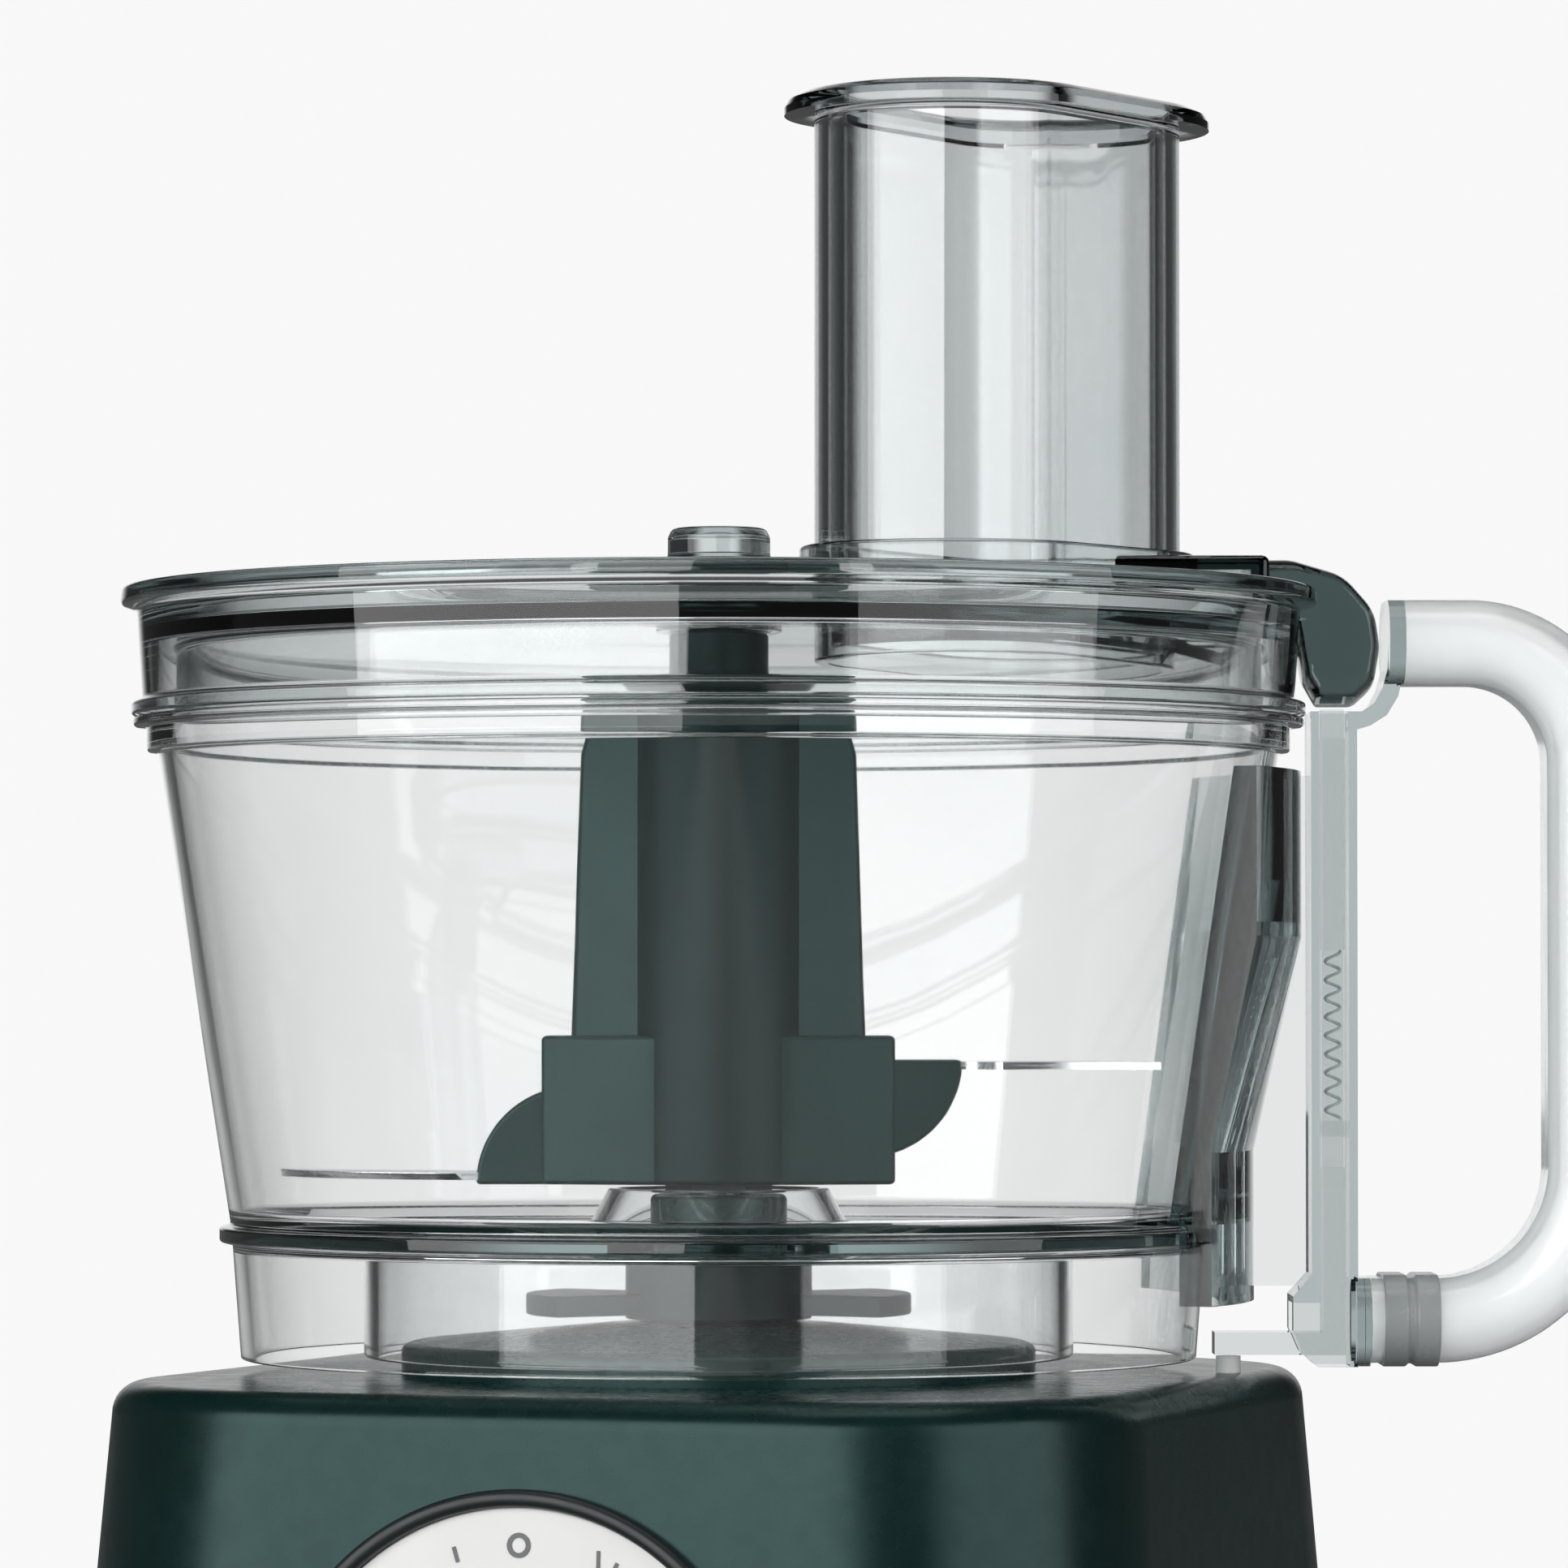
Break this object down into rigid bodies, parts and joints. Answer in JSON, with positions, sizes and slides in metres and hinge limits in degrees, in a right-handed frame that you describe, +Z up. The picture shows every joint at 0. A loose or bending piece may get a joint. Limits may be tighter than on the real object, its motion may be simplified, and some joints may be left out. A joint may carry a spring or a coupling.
{
  "type": "food processor",
  "caption": "Upright motor base with a speed dial, carrying a clear bowl with a side handle, a clear lid with an offset feed tube and pusher, and a two-bladed knife.",
  "frame": {"origin": "where the drive axis meets the surface that the feet stand on", "axes": "+Z up along the drive axis; +X from the axis towards the bowl handle; the dial faces 20 degrees left of -Y as seen from the front"},
  "size_m": [0.2562, 0.2192, 0.3714],
  "materials": {
    "base_plastic": "satin moulded",
    "dark_plastic": "moulded",
    "rubber": "matte",
    "steel": "turned",
    "laminations": "stacked sheet",
    "copper": "enamelled wire",
    "bronze": "sintered",
    "carbon": "carbon",
    "board": "circuit board",
    "board_parts": "moulded",
    "dial_white": "satin",
    "dial_dark": "gloss",
    "knob": "satin",
    "white_plastic": "moulded",
    "clear": "clear moulded plastic",
    "handle_clear": "smoke clear moulded plastic",
    "grip": "frosted clear moulded plastic",
    "hub": "satin",
    "blade": "ground"
  },
  "bodies": {
    "base": {"housing": "base_plastic", "back_wall": "base_plastic", "deck": "base_plastic", "cover_posts": "base_plastic", "bottom_cover": "dark_plastic", "feet": "rubber", "cover_screws": "steel", "dial_plate": "dial_white", "dial_bezel": "dial_dark", "selector_switch": "dark_plastic", "control_board": "board", "board_parts": "board_parts", "cord_grommet": "rubber", "chassis": "dark_plastic", "motor_stator": "laminations", "field_coils": "copper", "motor_top_bracket": "dark_plastic", "motor_lower_bush": "bronze", "motor_upper_bush": "bronze", "brush_holders": "bronze", "carbon_brushes": "carbon", "spindle_lower_bush": "bronze", "spindle_upper_bush": "bronze", "interlock_switch": "dark_plastic", "drive_belt": "rubber"},
    "switch_plunger": {"interlock_plunger": "white_plastic"},
    "knob": {"speed_knob": "knob", "selector_shaft": "steel"},
    "rotor": {"motor_shaft": "steel", "rotor_core": "laminations", "armature_winding": "copper", "commutator": "copper", "cooling_fan": "dark_plastic", "motor_pulley": "bronze"},
    "spindle": {"drive_spindle": "steel", "drive_pulley": "dark_plastic", "drive_coupling": "dark_plastic"},
    "bowl": {"bowl": "clear", "bowl_skirt": "clear", "bowl_rib": "clear", "bowl_hub": "dark_plastic", "handle_frame": "handle_clear", "handle_grip": "grip", "grip_top_arm": "grip", "grip_low_arm": "grip", "grip_ferrule": "grip", "rod_spring": "steel"},
    "interlock": {"interlock_rod": "handle_clear"},
    "knife": {"blade_hub": "hub", "low_blade": "blade", "high_blade": "blade"},
    "lid_bearing": {"lid_bush": "dark_plastic"},
    "lid": {"lid": "clear", "lid_rim": "clear", "lid_skirt": "clear", "lid_tab": "clear", "feed_tube": "clear"},
    "pusher": {"pusher": "clear"}
  },
  "joints": [
    {"name": "bowl_lift", "type": "slide", "parent": "base", "child": "bowl", "axis": [0, 0, 1], "range_m": [0, 0.11]},
    {"name": "lid_lift", "type": "slide", "parent": "bowl", "child": "lid_bearing", "axis": [0, 0, 1], "range_m": [0, 0.08]},
    {"name": "lid_turn", "type": "hinge", "parent": "lid_bearing", "child": "lid", "pos_m": [0, 0, 0.29], "axis": [0, 0, 1], "range_deg": [0, 28]},
    {"name": "pusher_lift", "type": "slide", "parent": "lid", "child": "pusher", "axis": [0, 0, 1], "range_m": [0, 0.1]},
    {"name": "motor_spin", "type": "hinge", "parent": "base", "child": "rotor", "pos_m": [0.0171, 0.04698, 0.08], "axis": [0, 0, 1], "continuous": true},
    {"name": "spindle_spin", "type": "hinge", "parent": "base", "child": "spindle", "pos_m": [0, 0, 0.1], "axis": [0, 0, 1], "continuous": true},
    {"name": "knife_spin", "type": "hinge", "parent": "bowl", "child": "knife", "pos_m": [0, 0, 0.23], "axis": [0, 0, 1], "continuous": true},
    {"name": "knob_turn", "type": "hinge", "parent": "base", "child": "knob", "pos_m": [-0.03005, -0.08255, 0.111], "axis": [-0.3412, -0.9374, 0.0698], "range_deg": [-90, 35]},
    {"name": "rod_slide", "type": "slide", "parent": "bowl", "child": "interlock", "axis": [0, 0, 1], "range_m": [0, 0.0041], "deforming": ["rod_spring"]},
    {"name": "plunger_slide", "type": "slide", "parent": "base", "child": "switch_plunger", "axis": [0, 0, 1], "range_m": [0, 0.0041]}
  ],
  "couplings": [
    {"joint": "spindle_spin", "follows": "motor_spin", "ratio": 0.22368},
    {"joint": "knife_spin", "follows": "motor_spin", "ratio": 0.22368},
    {"joint": "rod_slide", "follows": "lid_turn", "m_per_rad": 0.008185},
    {"joint": "plunger_slide", "follows": "lid_turn", "m_per_rad": 0.008185}
  ]
}
